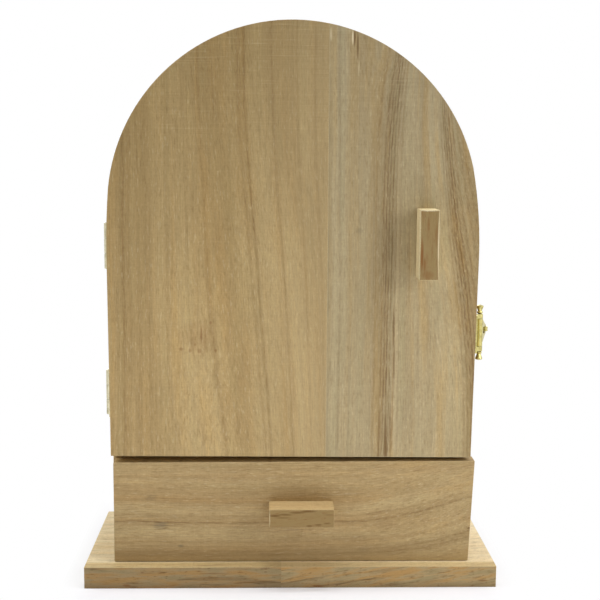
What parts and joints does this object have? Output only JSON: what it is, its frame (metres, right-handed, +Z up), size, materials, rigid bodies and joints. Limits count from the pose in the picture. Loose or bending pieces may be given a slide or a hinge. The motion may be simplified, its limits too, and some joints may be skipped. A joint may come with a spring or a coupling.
{
  "type": "key box",
  "caption": "Arched wooden key box on a base board, with a hinged door closed by a brass hasp, key hooks inside and a drawer below.",
  "frame": {"origin": "centre of the base board's underside, on the surface that the box stands on", "axes": "+X to the right as seen from the front, the door faces -Y, +Z up"},
  "size_m": [0.229, 0.107, 0.31],
  "materials": {
    "door_wood": "bare, sanded, vertical grain",
    "carcase_wood": "bare, sanded",
    "base_wood": "bare, sanded, grain along the width",
    "drawer_wood": "bare, sanded, horizontal grain",
    "handle_wood": "bare, sawn and sanded",
    "bent_plywood": "bare thin plywood",
    "brass": "polished, lightly tarnished"
  },
  "bodies": {
    "cabinet": {"left_side": "carcase_wood", "right_side": "carcase_wood", "back_panel": "carcase_wood", "cabinet_floor": "carcase_wood", "base_board": "base_wood", "arch_top": "bent_plywood", "upper_hinge_cabinet_leaf": "brass", "upper_hinge_pin": "brass", "lower_hinge_cabinet_leaf": "brass", "lower_hinge_pin": "brass", "hasp_keeper_plate": "brass", "hasp_keeper_stud": "brass", "key_hook_1": "brass", "key_hook_2": "brass", "key_hook_3": "brass", "key_hook_4": "brass", "key_hook_5": "brass", "key_hook_6": "brass"},
    "door": {"door_left_board": "door_wood", "door_right_board": "door_wood", "door_handle": "handle_wood", "upper_hinge_door_leaf": "brass", "lower_hinge_door_leaf": "brass", "hasp_door_plate": "brass", "hasp_pin": "brass"},
    "hasp": {"hasp_flap": "brass"},
    "drawer": {"drawer_front": "drawer_wood", "drawer_left_side": "drawer_wood", "drawer_right_side": "drawer_wood", "drawer_back": "drawer_wood", "drawer_bottom": "bent_plywood", "drawer_handle": "handle_wood"}
  },
  "joints": [
    {"name": "door_swing", "type": "hinge", "parent": "cabinet", "child": "door", "pos_m": [-0.1018, -0.03075, 0.148], "axis": [0, 0, -1], "range_deg": [0, 170]},
    {"name": "hasp_swing", "type": "hinge", "parent": "door", "child": "hasp", "pos_m": [0.10492, -0.03075, 0.141], "axis": [0, 0, -1], "range_deg": [-22, 140]},
    {"name": "drawer_slide", "type": "slide", "parent": "cabinet", "child": "drawer", "axis": [0, -1, 0], "range_m": [0, 0.045]}
  ]
}
